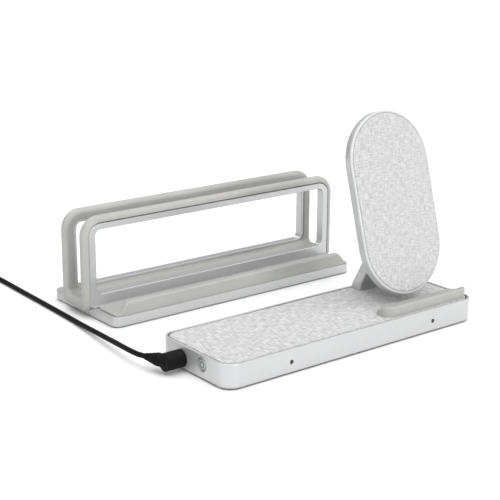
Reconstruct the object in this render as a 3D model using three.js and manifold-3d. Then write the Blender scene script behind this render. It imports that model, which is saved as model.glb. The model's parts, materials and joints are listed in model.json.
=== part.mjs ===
// Laptop docking station in two free-standing units: a charging base with a phone stand and a charging
// pad, and an upright laptop and tablet holder behind it. Millimetres, +Z up, +X along the units' long
// side, +Y to the rear. The origin is the centre of the footprint of the two units, on the desk.
import * as THREE from "three";
import { mergeVertices } from "three/addons/utils/BufferGeometryUtils.js";
import Module from "manifold-3d";

const wasm = await Module();
wasm.setup();

// ---------------------------------------------------------------------------------------------------
// Driving dimensions
// ---------------------------------------------------------------------------------------------------
const GAP = 0.3; // clearance between touching pieces
const STEPS = 5; // segments in a rounded corner

const base = { length: 260, depth: 86.5, height: 20.3, corner: 12, wall: 2, foot: 1.2 };
const fabricThick = 0.6;
const topPlateThick = 1.4;
const coverThick = 1.8;
const portHeight = 9.9; // height of the sockets' and lights' axes above the desk
const bezelProud = 0.25;
const button = { y: 31.2, z: 12.4, radius: 3.7, ring: 5.2 };
const jack = { y: 56.6, bore: 3.1, depth: 9.9, length: 12.5, half: 4.8 };
const lightX = [60, 210];
const padX = 74;

const ledge = { x0: 163.5, x1: 257.4, y: 4.6, depth: 18.4, lip: 2.2, top: 28.2, floor: 23.7, cove: 5.5 };

const paddle = { x: 209, width: 86.2, length: 152.3, thick: 8.1, tipY: 24.3, tipZ: 27.6 };
const paddleTilt = THREE.MathUtils.degToRad(15.9);
const bezelThick = 1.9;
const fabricInset = 2.6;
const paddleWall = 2;

const leg = { width: 28, front: 71.4, thick: 9.6, knee: 23.6, bottom: 3.6 };
const legLean = THREE.MathUtils.degToRad(29);

const holder = { x: 7.3, y: 162, length: 260, depth: 101, top: 9.25, foot: 1, corner: 7 };
const liner = {
  overhang: 6.9, thick: 9.6, front: 34.8, slot: 20.5, floor: 15.4, crown: 87, drop: 5.6, round: 2.4,
};
const lap = { thick: 0.8, width: 3.3, bottom: 17.4 }; // the liner's lap over each frame, on the slot's side
const frame = { inset: -1.4, thick: 8.2, band: 6.3, sill: 19.6, top: 81, corner: 11 };
const tray = { x0: 2.5, x1: 257.5, y0: 0.6, y1: 31.4, floor: 10.8, lip: 5, lipTop: 20.8, rise: 14 };

const cable = { diameter: 4.2 };
const plug = { radius: 7.1, length: 16.6, elbow: 5.2, relief: 12 };
const reliefLean = THREE.MathUtils.degToRad(20);
const coil = { x: -31, y: 381, mid: 23, outer: 29.4, inner: 16.8, bottom: 0.7, top: 13.2 };
const tie = { width: 9, thick: 0.4 };
const adapter = { x: -92, y0: 300, width: 30, length: 58, height: 44 };

// ---------------------------------------------------------------------------------------------------
// Materials
// ---------------------------------------------------------------------------------------------------
const finish = (color, roughness, metalness = 0) =>
  new THREE.MeshStandardMaterial({ color, roughness, metalness });
const aluminium = finish(0xc9cbcd, 0.42, 0.9);
const fabric = finish(0xd9d9da, 0.95);
const silicone = finish(0xc9c9c5, 0.7);
const whitePlastic = finish(0xd2d3d4, 0.5);
const darkPlastic = finish(0x2a2b2d, 0.55);
const blackPlastic = finish(0x121213, 0.5);
const blackRubber = finish(0x17181a, 0.75);
const steel = finish(0xb4b6b8, 0.3, 1);
const copper = finish(0xb5713c, 0.4, 1);
const ferrite = finish(0x3c3c40, 0.8);
const circuitBoard = finish(0x1f5b3a, 0.6);

// ---------------------------------------------------------------------------------------------------
// Solids
// ---------------------------------------------------------------------------------------------------
function solid(geometry) {
  const bare = geometry.clone();
  bare.deleteAttribute("normal");
  bare.deleteAttribute("uv");
  const merged = mergeVertices(bare, 1e-4);
  return new wasm.Manifold(
    new wasm.Mesh({
      numProp: 3,
      vertProperties: new Float32Array(merged.attributes.position.array),
      triVerts: new Uint32Array(merged.index.array),
    }),
  );
}

function geometryOf(manifold) {
  const mesh = manifold.getMesh();
  const geometry = new THREE.BufferGeometry();
  geometry.setAttribute("position", new THREE.BufferAttribute(mesh.vertProperties, 3));
  geometry.setIndex(new THREE.BufferAttribute(mesh.triVerts, 1));
  return geometry;
}

// One body, less the tools taken from it.
function cut(body, ...tools) {
  return geometryOf(tools.reduce((left, tool) => left.subtract(solid(tool)), solid(body)));
}

function join(...bodies) {
  const [first, ...rest] = bodies.map(solid);
  return geometryOf(rest.reduce((sum, body) => sum.add(body), first));
}

function common(a, b) {
  return geometryOf(solid(a).intersect(solid(b)));
}

function box(x0, x1, y0, y1, z0, z1) {
  const geometry = new THREE.BoxGeometry(x1 - x0, y1 - y0, z1 - z0);
  return geometry.translate((x0 + x1) / 2, (y0 + y1) / 2, (z0 + z1) / 2);
}

function roundedRect(x0, y0, x1, y1, r) {
  const shape = new THREE.Shape();
  shape.moveTo(x0 + r, y0);
  shape.lineTo(x1 - r, y0);
  shape.absarc(x1 - r, y0 + r, r, -Math.PI / 2, 0);
  shape.lineTo(x1, y1 - r);
  shape.absarc(x1 - r, y1 - r, r, 0, Math.PI / 2);
  shape.lineTo(x0 + r, y1);
  shape.absarc(x0 + r, y1 - r, r, Math.PI / 2, Math.PI);
  shape.lineTo(x0, y0 + r);
  shape.absarc(x0 + r, y0 + r, r, Math.PI, 1.5 * Math.PI);
  return shape;
}

function stadium(width, length, steps = 16) {
  const r = width / 2;
  const half = length / 2 - r;
  const points = [];
  for (let i = 0; i <= steps; i += 1) {
    const angle = (Math.PI * i) / steps;
    points.push(new THREE.Vector2(r * Math.cos(angle), half + r * Math.sin(angle)));
  }
  const lower = points.map((p) => new THREE.Vector2(-p.x, -p.y));
  return new THREE.Shape([...points, ...lower]);
}

function polygon(...points) {
  return new THREE.Shape(points.map(([x, y]) => new THREE.Vector2(x, y)));
}

// An outline in X and Y, raised from z0 to z1.
function slab(shape, z0, z1, curveSegments = STEPS) {
  const geometry = new THREE.ExtrudeGeometry(shape, { depth: z1 - z0, bevelEnabled: false, curveSegments });
  return geometry.translate(0, 0, z0);
}

// The same with its top and bottom edges bevelled.
function bevelledSlab(shape, z0, z1, bevel, bevelSegments = 2) {
  const geometry = new THREE.ExtrudeGeometry(shape, {
    depth: z1 - z0 - 2 * bevel,
    bevelThickness: bevel,
    bevelSize: bevel,
    bevelOffset: -bevel,
    bevelSegments,
    curveSegments: STEPS,
  });
  return geometry.translate(0, 0, z0 + bevel);
}

const towardX = new THREE.Matrix4().makeBasis(
  new THREE.Vector3(0, 1, 0),
  new THREE.Vector3(0, 0, 1),
  new THREE.Vector3(1, 0, 0),
);
const towardY = new THREE.Matrix4().makeBasis(
  new THREE.Vector3(1, 0, 0),
  new THREE.Vector3(0, 0, 1),
  new THREE.Vector3(0, -1, 0),
);

// An outline in Y and Z, run from x0 to x1.
const alongX = (shape, x0, x1) => slab(shape, x0, x1).applyMatrix4(towardX);
// An outline in X and Z, run from y0 to y1.
const alongY = (shape, y0, y1) => slab(shape, -y1, -y0).applyMatrix4(towardY);
const bevelledAlongY = (shape, y0, y1, bevel) =>
  bevelledSlab(shape, -y1, -y0, bevel).applyMatrix4(towardY);

// A turned body: its profile is a list of [radius, height], from the axis and back to it.
function turned(profile, segments = 20) {
  return new THREE.LatheGeometry(
    profile.map(([r, z]) => new THREE.Vector2(r, z)),
    segments,
  ).rotateX(Math.PI / 2);
}

function disc(r, z0, z1, segments = 20) {
  return turned([[0, z0], [r, z0], [r, z1], [0, z1]], segments);
}

function ring(inner, outer, z0, z1, segments = 24) {
  return turned([[inner, z0], [outer, z0], [outer, z1], [inner, z1], [inner, z0]], segments);
}

// A turned body laid along +X or +Y, its height axis starting at the given point.
const layX = (geometry, x, y, z) => geometry.rotateY(Math.PI / 2).translate(x, y, z);
const layY = (geometry, x, y, z) => geometry.rotateX(-Math.PI / 2).translate(x, y, z);

function screw(headRadius, headThick, shankRadius, length) {
  return turned(
    [
      [0, 0],
      [headRadius, 0],
      [headRadius, headThick],
      [shankRadius, headThick],
      [shankRadius, length],
      [0, length],
    ],
    8,
  );
}

function tube(points, radius, sides, steps) {
  const section = new THREE.Shape();
  for (let i = 0; i < sides; i += 1) {
    const angle = (2 * Math.PI * i) / sides;
    const place = [radius * Math.cos(angle), radius * Math.sin(angle)];
    if (i === 0) section.moveTo(...place);
    else section.lineTo(...place);
  }
  const path = new THREE.CatmullRomCurve3(points.map((p) => new THREE.Vector3(...p)));
  return new THREE.ExtrudeGeometry(section, { extrudePath: path, steps, bevelEnabled: false });
}

function add(group, name, geometry, material) {
  const mesh = new THREE.Mesh(geometry, material);
  mesh.name = name;
  group.add(mesh);
}

// ---------------------------------------------------------------------------------------------------
// Charging base, from the front left corner of its shell
// ---------------------------------------------------------------------------------------------------
const wall = base.wall;
const shelfZ = base.height - fabricThick - topPlateThick - 3 * GAP; // top of the shelf that carries the top
const legHole = [
  paddle.x - leg.width / 2 - GAP,
  paddle.x + leg.width / 2 + GAP,
  leg.front - GAP,
  leg.front + 11 + GAP,
];
const bossPlaces = [8.2, base.length - 8.2].flatMap((x) => [8.2, base.depth - 8.2].map((y) => [x, y]));
const legScrewX = [-9.6, 9.6].map((dx) => paddle.x + dx);
const usbA = { x: 150, width: 13.2, height: 5.8, depth: 14 };
const usbC = { x: 176, width: 9, height: 3.3, depth: 7.6 };

// An inset copy of the base's outline.
function baseOutline(inset) {
  const r = base.corner - inset;
  return roundedRect(inset, inset, base.length - inset, base.depth - inset, r);
}

function baseShell() {
  const shelf = slab(baseOutline(wall - 0.2), shelfZ - 1.5, shelfZ);
  const outside = slab(baseOutline(0), base.foot, base.height);
  const walls = cut(outside, slab(baseOutline(wall), 0, base.height + 1));
  const bosses = bossPlaces.map(([x, y]) => disc(5, leg.bottom, shelfZ - 0.5, 12).translate(x, y, 0));
  const body = join(walls, cut(shelf, slab(baseOutline(wall + 1.5), 0, base.height)), ...bosses);
  return cut(
    body,
    layX(disc(button.ring + GAP, -1, wall + 2), 0, button.y, button.z),
    layX(disc(jack.bore + 0.6, -1, wall + 1), 0, jack.y, portHeight),
    ...lightX.map((x) => layY(disc(1.3, -1, wall + 1, 12), x, 0, portHeight)),
    ...[usbA, usbC].map((port) => portBox(port, GAP, base.depth - wall - 1, base.depth + 1)),
    ...bossPlaces.map(([x, y]) => disc(1.5, 0, 13, 8).translate(x, y, 0)),
  );
}

function portBox(port, grow, y0, y1) {
  const w = port.width / 2 + grow;
  const h = port.height / 2 + grow;
  return box(port.x - w, port.x + w, y0, y1, portHeight - h, portHeight + h);
}

// A socket's metal shell, open at the rear face, with its tongue inside.
function usbPort(port, tongue) {
  const front = base.depth - port.depth;
  const face = base.depth - 0.2;
  const shell = cut(portBox(port, 0, front, face), portBox(port, -0.4, front + 1, face + 1));
  const low = portHeight - tongue / 2;
  const half = port.width / 2 - 1.3;
  return join(shell, box(port.x - half, port.x + half, front + 0.5, face - 1.5, low, low + tongue));
}

function bottomCover() {
  const cover = slab(baseOutline(wall + GAP), base.foot + GAP, base.foot + GAP + coverThick);
  const holes = [...bossPlaces, ...legScrewX.map((x) => [x, leg.front + 5.5])];
  return cut(
    cover,
    ...holes.map(([x, y]) => disc(1.7, 0, 6, 8).translate(x, y, 0)),
    ...holes.map(([x, y]) => disc(3, 0, base.foot + GAP + 1.2, 12).translate(x, y, 0)),
  );
}

function topPlate() {
  const plate = slab(baseOutline(wall + GAP), shelfZ + GAP, shelfZ + GAP + topPlateThick);
  return cut(plate, box(...legHole, shelfZ, base.height));
}

function topFabric() {
  const cloth = slab(baseOutline(wall + 0.5), base.height - GAP - fabricThick, base.height - GAP);
  return cut(cloth, box(...legHole, shelfZ, base.height));
}

// The ledge that stops the phone: a lip round the front and both ends, falling away towards the back.
function phoneLedge() {
  const { x0, x1, y, depth, lip, top, floor, cove } = ledge;
  const back = y + depth;
  const round = depth / 2 - 0.5;
  const outline = (inset) => roundedRect(x0 + inset, y + inset, x1 - inset, back - inset, round - inset);
  const side = new THREE.Shape();
  side.moveTo(y - 1, base.height);
  side.lineTo(back + 1, base.height);
  side.lineTo(back + 1, floor);
  side.lineTo(back - 3, floor);
  side.bezierCurveTo(back - 8, floor, y + 9, top, y + 3, top);
  side.lineTo(y - 1, top);
  const body = common(alongX(side, x0, x1), bevelledSlab(outline(0), 0, top, 0.8));
  return cut(body, bevelledSlab(outline(lip), floor, top + 2 * cove, cove, 4));
}

function powerSwitch() {
  const body = box(6.2, 12, button.y - 3, button.y + 3, button.z - 3, button.z + 3);
  return join(body, layX(disc(1.5, 4.9, 7, 12), 0, button.y, button.z));
}

function powerButton() {
  const { y, z, radius } = button;
  const profile = [[0, 0.15], [radius - 0.4, 0.15], [radius, 0.5], [radius, 2.4], [radius + 1, 2.4]];
  profile.push([radius + 1, 3.4], [1.2, 3.4], [1.2, 3.9], [0, 3.9]);
  return layX(turned(profile), 0, y, z);
}

function buttonBezel() {
  const { y, z, radius, ring: outer } = button;
  return layX(ring(radius + GAP, outer, -bezelProud, 1.6), 0, y, z);
}

function dcJack() {
  const { y, bore, depth, length, half } = jack;
  const x0 = wall + GAP;
  const block = box(x0, x0 + length, y - half, y + half, portHeight - half, portHeight + half);
  const drilled = cut(block, layX(disc(bore, 0, wall + GAP + depth), 0, y, portHeight));
  return join(drilled, layX(disc(0.9, wall + 1.4, wall + depth + 1, 12), 0, y, portHeight));
}

function mainBoard() {
  const board = box(15.5, 190, 12, 68, 5.2, 6.8);
  return cut(board, box(usbA.x - 8, usbC.x + 6, 66, 69, 0, 10));
}

function lightPipe(x) {
  return layY(turned([[0, 0.7], [1, 0.7], [1, 4], [1.6, 4], [1.6, 9], [0, 9]], 12), x, 0, portHeight);
}

const baseGroup = new THREE.Group();
add(baseGroup, "base_shell", baseShell(), aluminium);
add(baseGroup, "bottom_cover", bottomCover(), darkPlastic);
add(baseGroup, "top_plate", topPlate(), darkPlastic);
add(baseGroup, "top_fabric", topFabric(), fabric);
add(baseGroup, "phone_ledge", phoneLedge(), silicone);
add(baseGroup, "main_board", mainBoard(), circuitBoard);
add(baseGroup, "pad_coil", ring(8, 21, 14, 15.2).translate(padX, base.depth / 2, 0), copper);
add(baseGroup, "pad_shield", disc(23, 12.4, 13.6, 32).translate(padX, base.depth / 2, 0), ferrite);
add(baseGroup, "dc_jack", dcJack(), blackPlastic);
add(baseGroup, "usb_a_port", usbPort(usbA, 1.8), steel);
add(baseGroup, "usb_c_port", usbPort(usbC, 0.8), steel);
add(baseGroup, "power_switch", powerSwitch(), blackPlastic);
add(baseGroup, "power_button", powerButton(), aluminium);
add(baseGroup, "button_bezel", buttonBezel(), aluminium);
["left", "right"].forEach((side, i) => {
  add(baseGroup, `status_light_${side}`, lightPipe(lightX[i]), darkPlastic);
});
bossPlaces.forEach(([x, y], i) => {
  add(baseGroup, `cover_screw_${i + 1}`, screw(2.6, 0.9, 1.2, 10).translate(x, y, base.foot + GAP), steel);
});
[[28, 12], [28, base.depth - 12], [232, 12], [232, base.depth - 12]].forEach(([x, y], i) => {
  add(baseGroup, `base_foot_${i + 1}`, disc(6, 0, base.foot, 16).translate(x, y, 0), blackRubber);
});

// ---------------------------------------------------------------------------------------------------
// Phone stand: a bent leg that rises through the base's top and carries the charging paddle
// ---------------------------------------------------------------------------------------------------
const up = { y: Math.sin(paddleTilt), z: Math.cos(paddleTilt) };
const paddleCentre = {
  y: paddle.tipY + (paddle.length / 2) * up.y,
  z: paddle.tipZ + (paddle.length / 2) * up.z,
};
const backOffset = paddle.thick / up.z; // from the front face to the back face, along Y
const paddleFrontY = (z) => paddle.tipY + (z - paddle.tipZ) * Math.tan(paddleTilt);
const legFrontY = (z) => leg.front - (z - leg.knee) * Math.tan(legLean);
const legDepth = leg.thick / Math.cos(legLean); // the leg's thickness along Y

// The leg's side outline, drawn `inset` inside it and running on past both its ends by `past`.
function legOutline(inset, past) {
  const front = leg.front + inset;
  const rear = leg.front + legDepth - inset;
  const lean = inset / Math.cos(legLean) - inset;
  const high = 90;
  const shape = new THREE.Shape();
  shape.moveTo(front, leg.bottom - past);
  shape.lineTo(rear, leg.bottom - past);
  shape.lineTo(rear, leg.knee - 1.5);
  const aboveKnee = leg.knee + 4;
  shape.quadraticCurveTo(rear, leg.knee + 1.5, legFrontY(aboveKnee) + legDepth - inset - lean, aboveKnee);
  shape.lineTo(legFrontY(high) + legDepth - inset - lean, high);
  shape.lineTo(legFrontY(high) + inset + lean, high);
  shape.lineTo(legFrontY(leg.knee + 2) + inset + lean, leg.knee + 2);
  shape.quadraticCurveTo(front, leg.knee, front, leg.knee - 2);
  return shape;
}

// Everything in front of the paddle's back face, less a clearance.
function beforePaddleBack(clearance) {
  const y0 = paddleFrontY(0) + backOffset + clearance;
  const y1 = paddleFrontY(120) + backOffset + clearance;
  return alongX(polygon([-60, 0], [y0, 0], [y1, 120], [-60, 120]), 0, 400);
}

// Height at which the leg's middle meets the paddle's back, and the same place along the paddle.
const meetZ =
  (legFrontY(0) + legDepth / 2 - paddleFrontY(0) - backOffset) / (Math.tan(legLean) + Math.tan(paddleTilt));
const meetV = (meetZ - paddleCentre.z) / up.z - paddle.thick * Math.tan(paddleTilt);

function inPaddleFrame(geometry) {
  return geometry.rotateX(Math.PI / 2 - paddleTilt).translate(paddle.x, paddleCentre.y, paddleCentre.z);
}

function standLeg() {
  const x0 = paddle.x - leg.width / 2;
  const channel = 6; // half the width of the cable's channel
  return cut(
    alongX(legOutline(0, 0), x0, x0 + leg.width),
    beforePaddleBack(GAP),
    alongX(legOutline(2.5, 2), paddle.x - channel, paddle.x + channel),
    ...legScrewX.map((x) => disc(1.5, 0, 16, 8).translate(x, leg.front + 5.5, 0)),
    ...legScrewX.map((x) => inPaddleFrame(disc(1.5, -20, 0, 8).translate(x - paddle.x, meetV, 0))),
  );
}

function standCable() {
  const band = alongX(legOutline(4.2, -1), paddle.x - 4, paddle.x + 4);
  return cut(band, beforePaddleBack(-2.6));
}

function standBackShell() {
  const outer = bevelledSlab(stadium(paddle.width, paddle.length), -paddle.thick, -bezelThick - GAP, 0.8);
  const inner = slab(
    stadium(paddle.width - 2 * paddleWall, paddle.length - 2 * paddleWall),
    -paddle.thick + 1.8,
    0,
  );
  return cut(
    outer,
    inner,
    box(-6, 6, meetV - 4.5, meetV + 8, -paddle.thick - 1, 0),
    ...[-9.6, 9.6].map((x) => disc(1.5, -paddle.thick - 1, 0, 8).translate(x, meetV, 0)),
  );
}

function standFacePlate() {
  const plate = bevelledSlab(stadium(paddle.width, paddle.length), -bezelThick, 0, 0.6);
  const inset = 2 * (fabricInset - 0.3);
  const recess = slab(stadium(paddle.width - inset, paddle.length - inset), -fabricThick - GAP, 1);
  return cut(plate, recess);
}

const standGroup = new THREE.Group();
standGroup.position.set(paddle.x, paddleCentre.y, paddleCentre.z);
standGroup.rotation.x = Math.PI / 2 - paddleTilt;
baseGroup.add(standGroup);

const clothShape = stadium(paddle.width - 2 * fabricInset, paddle.length - 2 * fabricInset);
add(baseGroup, "stand_leg", standLeg(), aluminium);
add(baseGroup, "stand_cable", standCable(), blackRubber);
add(standGroup, "stand_back_shell", standBackShell(), aluminium);
add(standGroup, "stand_face_plate", standFacePlate(), whitePlastic);
add(standGroup, "stand_fabric", slab(clothShape, -fabricThick, 0), fabric);
add(standGroup, "stand_coil_upper", ring(8, 20, -3.4, -2.3).translate(0, 20.6, 0), copper);
add(standGroup, "stand_coil_lower", ring(8, 20, -3.4, -2.3).translate(0, -20.6, 0), copper);
add(standGroup, "stand_shield", slab(stadium(46, 88), -4.5, -3.7), ferrite);
legScrewX.forEach((x, i) => {
  const standScrew = screw(2.6, 1, 1.2, 8).rotateX(Math.PI).translate(x - paddle.x, meetV, 0);
  add(standGroup, `stand_screw_${i + 1}`, standScrew.translate(0, 0, -paddle.thick + 1.8 + GAP + 1), steel);
  const legScrew = screw(2.6, 0.9, 1.2, 12).translate(x, leg.front + 5.5, base.foot + GAP);
  add(baseGroup, `leg_screw_${i + 1}`, legScrew, steel);
});

// ---------------------------------------------------------------------------------------------------
// Holder, from the front left corner of its base plate
// ---------------------------------------------------------------------------------------------------
const rearWall = liner.front + liner.thick + liner.slot;
const slotFront = liner.front + liner.thick;
const frameScrewX = [40, holder.length - 40];
const frameFronts = { front: liner.front + GAP, rear: rearWall + lap.thick + GAP };

function arch(inset, bottom, top, corner) {
  const x0 = inset;
  const x1 = holder.length - inset;
  const shape = new THREE.Shape();
  shape.moveTo(x0, bottom);
  shape.lineTo(x1, bottom);
  shape.lineTo(x1, top - corner);
  shape.absarc(x1 - corner, top - corner, corner, 0, Math.PI / 2);
  shape.lineTo(x0 + corner, top);
  shape.absarc(x0 + corner, top - corner, corner, Math.PI / 2, Math.PI);
  return shape;
}

function basePlate() {
  const outline = roundedRect(0, 0, holder.length, holder.depth, holder.corner);
  const plate = bevelledSlab(outline, holder.foot, holder.top, 0.5);
  const rows = Object.values(frameFronts);
  const places = rows.flatMap((y) => frameScrewX.map((x) => [x, y + frame.thick / 2]));
  return cut(
    plate,
    ...places.map(([x, y]) => disc(2, 0, 12, 8).translate(x, y, 0)),
    ...places.map(([x, y]) => disc(4.3, 0, holder.foot + 3, 12).translate(x, y, 0)),
  );
}

// An arched aluminium window frame with a foot flange along its front.
function windowFrame(y0, withFlange) {
  const foot = holder.top + GAP;
  const window = roundedRect(
    frame.inset + frame.band,
    frame.sill,
    holder.length - frame.inset - frame.band,
    frame.top - frame.band + 1,
    5,
  );
  const body = cut(
    bevelledAlongY(arch(frame.inset, foot, frame.top, frame.corner), y0, y0 + frame.thick, 0.5),
    alongY(window, y0 - 1, y0 + frame.thick + 1),
  );
  const flange = box(frame.inset + 1, holder.length - frame.inset - 1, y0 - 3.6, y0 + 1, foot, foot + 1.2);
  const holes = frameScrewX.map((x) => disc(1.8, 0, 17, 8).translate(x, y0 + frame.thick / 2, 0));
  return cut(withFlange ? join(body, flange) : body, ...holes);
}

// The space for the frames in the liner: its full outline up to the lap, and a smaller one through the lap.
function frameBays() {
  const full = arch(frame.inset - GAP, 0, frame.top + GAP, frame.corner + GAP);
  const x0 = frame.inset + lap.width;
  const corner = frame.corner - lap.width;
  const open = roundedRect(x0, lap.bottom, holder.length - x0, frame.top - lap.width, corner);
  return [
    alongY(full, liner.front - 1, slotFront - lap.thick),
    alongY(open, liner.front, slotFront + 1),
    alongY(full, rearWall + lap.thick, rearWall + liner.thick + 1),
    alongY(open, rearWall - 1, rearWall + liner.thick),
  ];
}

// The silicone liner: the slot's floor, a rounded bead round each frame and a U at each end.
function slotLiner() {
  const x0 = -liner.overhang;
  const x1 = holder.length + liner.overhang;
  const yEnd = rearWall + liner.thick;
  const seam = liner.floor + 5; // where the beads take over from the U
  const below = box(x0 - 1, x1 + 1, 0, holder.depth, 0, seam);
  const beads = [liner.front, rearWall].map((y) => {
    const outline = arch(-liner.overhang, liner.drop, liner.crown, 17);
    return cut(bevelledAlongY(outline, y, y + liner.thick, liner.round), ...frameBays(), below);
  });
  const channel = new THREE.Shape();
  channel.moveTo(liner.front + 7, liner.drop);
  channel.lineTo(yEnd - 7, liner.drop);
  channel.absarc(yEnd - 7, liner.drop + 7, 7, -Math.PI / 2, 0);
  channel.lineTo(yEnd, seam + 6);
  channel.lineTo(rearWall, seam + 6);
  channel.lineTo(rearWall, liner.floor + 4);
  channel.absarc(rearWall - 4, liner.floor + 4, 4, 0, -Math.PI / 2, true);
  channel.lineTo(slotFront + 4, liner.floor);
  channel.absarc(slotFront + 4, liner.floor + 4, 4, -Math.PI / 2, -Math.PI, true);
  channel.lineTo(slotFront, seam + 6);
  channel.lineTo(liner.front, seam + 6);
  channel.lineTo(liner.front, liner.drop + 7);
  channel.absarc(liner.front + 7, liner.drop + 7, 7, Math.PI, 1.5 * Math.PI);
  const ends = cut(
    bevelledSlab(channel, x0, x1, liner.round).applyMatrix4(towardX),
    box(-GAP, holder.length + GAP, 0, holder.depth, 0, holder.top + GAP),
    ...frameBays(),
  );
  return join(ends, ...beads);
}

// The tablet tray: a flat floor with a lip along its front edge that slopes away at both ends.
function tabletTray() {
  const { x0, x1, y0, y1, floor, lip, lipTop, rise } = tray;
  const bottom = holder.top + GAP;
  const crest = new THREE.Shape();
  crest.moveTo(x0, bottom);
  crest.lineTo(x1, bottom);
  crest.lineTo(x1, floor);
  crest.bezierCurveTo(x1 - rise / 2, floor, x1 - rise / 2, lipTop, x1 - rise, lipTop);
  crest.lineTo(x0 + rise, lipTop);
  crest.bezierCurveTo(x0 + rise / 2, lipTop, x0 + rise / 2, floor, x0, floor);
  const section = new THREE.Shape();
  section.moveTo(y0, bottom);
  section.lineTo(y1, bottom);
  section.lineTo(y1, floor);
  section.lineTo(y0 + lip + 5, floor);
  section.quadraticCurveTo(y0 + lip + 1, floor, y0 + lip, lipTop);
  section.lineTo(y0 + 1.5, lipTop);
  section.quadraticCurveTo(y0, lipTop, y0, lipTop - 1.5);
  return common(
    common(alongY(crest, y0 - 1, y1 + 1), alongX(section, x0, x1)),
    slab(roundedRect(x0, y0, x1, y1, 4), 0, 40),
  );
}

const holderGroup = new THREE.Group();
holderGroup.position.set(holder.x, holder.y, 0);
add(holderGroup, "holder_base_plate", basePlate(), aluminium);
add(holderGroup, "front_frame", windowFrame(frameFronts.front, true), aluminium);
add(holderGroup, "rear_frame", windowFrame(frameFronts.rear, false), aluminium);
add(holderGroup, "slot_liner", slotLiner(), silicone);
add(holderGroup, "tablet_tray", tabletTray(), silicone);
[14, holder.length - 14].flatMap((x) => [14, holder.depth - 14].map((y) => [x, y])).forEach(([x, y], i) => {
  const foot = disc(8, 0, holder.foot - GAP, 16).translate(x, y, 0);
  add(holderGroup, `holder_foot_${i + 1}`, foot, blackRubber);
});
Object.entries(frameFronts).forEach(([side, y]) => {
  frameScrewX.forEach((x, i) => {
    const place = screw(3.8, 2, 1.5, 13).translate(x, y + frame.thick / 2, holder.foot + 0.7);
    add(holderGroup, `${side}_frame_screw_${i + 1}`, place, steel);
  });
});

// ---------------------------------------------------------------------------------------------------
// Power lead, in the charging base's frame: plug, cable, coil of the spare length, adapter
// ---------------------------------------------------------------------------------------------------
const plugEnd = -GAP - plug.length;
const reliefStart = { x: plugEnd + 3.6, y: jack.y + 1 };
const reliefWay = { x: -Math.sin(reliefLean), y: Math.cos(reliefLean) };
const alongRelief = (t) => [reliefStart.x + reliefWay.x * t, reliefStart.y + reliefWay.y * t];
const reliefFrom = 7.4; // from the elbow's middle to the relief's face
const reliefTo = reliefFrom + plug.relief;

// The plug's body: a round barrel, cut aslant at its outer end, with a short elbow to the side.
function dcPlug() {
  const barrel = layX(
    turned([
      [0, 0],
      [plug.radius - 0.6, 0],
      [plug.radius, 0.6],
      [plug.radius, plug.length],
      [0, plug.length],
    ]),
    plugEnd,
    jack.y,
    portHeight,
  );
  const elbow = disc(plug.elbow, 0, reliefFrom - GAP, 20)
    .rotateX(-Math.PI / 2)
    .rotateZ(reliefLean)
    .translate(reliefStart.x, reliefStart.y, portHeight);
  const knuckle = new THREE.SphereGeometry(plug.elbow, 16, 10);
  knuckle.translate(reliefStart.x, reliefStart.y, portHeight);
  const body = join(barrel, elbow, knuckle);
  return cut(body, layX(disc(2.9, -3, 1), 0, jack.y, portHeight));
}

// The plug's metal contact, a thin tube that is closed at its root.
function plugBarrel() {
  const profile = [[0, -2.6], [2.6, -2.6], [2.6, 9], [1.3, 9], [1.3, 0.5], [0, 0.5]];
  return layX(turned(profile, 20), 0, jack.y, portHeight);
}

function strainRelief() {
  const start = alongRelief(reliefFrom);
  const profile = [[0, 0], [plug.elbow, 0], [3.8, 7.2], [3.3, 8], [2.5, plug.relief], [0, plug.relief]];
  return turned(profile, 20)
    .rotateX(-Math.PI / 2)
    .rotateZ(reliefLean)
    .translate(start[0], start[1], portHeight);
}

// A flat strap round the coil's right side.
function coilTie() {
  const innerX = Math.sqrt(coil.inner ** 2 - (tie.width / 2) ** 2);
  const inside = [coil.x + innerX - GAP, coil.x + coil.outer + GAP];
  const y = [coil.y - tie.width / 2, coil.y + tie.width / 2];
  const t = tie.thick;
  const outer = box(inside[0] - t, inside[1] + t, ...y, coil.bottom - GAP - t, coil.top + GAP + t);
  return cut(outer, box(...inside, y[0] - 1, y[1] + 1, coil.bottom - GAP, coil.top + GAP));
}

const cableRadius = cable.diameter / 2;
const leadRoute = [
  [...alongRelief(reliefTo + GAP), portHeight],
  [-22, 83, 9.9],
  [-22.5, 92, 9.8],
  [-21.7, 104, 9.2],
  [-20, 118, 8.1],
  [-18.2, 133, 6.8],
  [-16.2, 148, 5.5],
  [-14.4, 164, 4.2],
  [-12.8, 180, 3.1],
  [-11.5, 195, 2.4],
  [-10.8, 210, 2.15],
  [-10.3, 230, 2.15],
  [-9.8, 252, 2.15],
  [-9.3, 275, 2.15],
  [-8.8, 300, 2.15],
  [-8.2, 325, 2.15],
  [-8, 345, 2.15],
  [-8, 358.3, 2.15],
];
const tailRoute = [
  [coil.x - 12, coil.y + coil.mid + 6.9, 2.15],
  [coil.x - 26, coil.y + 29.9, 2.15],
  [coil.x - 41, coil.y + 26, 2.15],
  [coil.x - 53, coil.y + 15, 2.9],
  [coil.x - 59.5, coil.y + 1, 5.6],
  [coil.x - 61, coil.y - 12, 9],
  [coil.x - 61, coil.y - 22.2, 10],
];

const leadGroup = new THREE.Group();
add(leadGroup, "dc_plug", dcPlug(), blackRubber);
add(leadGroup, "plug_barrel", plugBarrel(), steel);
add(leadGroup, "strain_relief", strainRelief(), blackRubber);
add(leadGroup, "lead_run", tube(leadRoute, cableRadius, 10, 34), blackRubber);
const coilRing = ring(coil.inner, coil.outer, coil.bottom, coil.top, 32);
add(leadGroup, "lead_coil", coilRing.translate(coil.x, coil.y, 0), blackRubber);
add(leadGroup, "coil_tie", coilTie(), blackRubber);
add(leadGroup, "lead_tail", tube(tailRoute, cableRadius, 10, 12), blackRubber);

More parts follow.
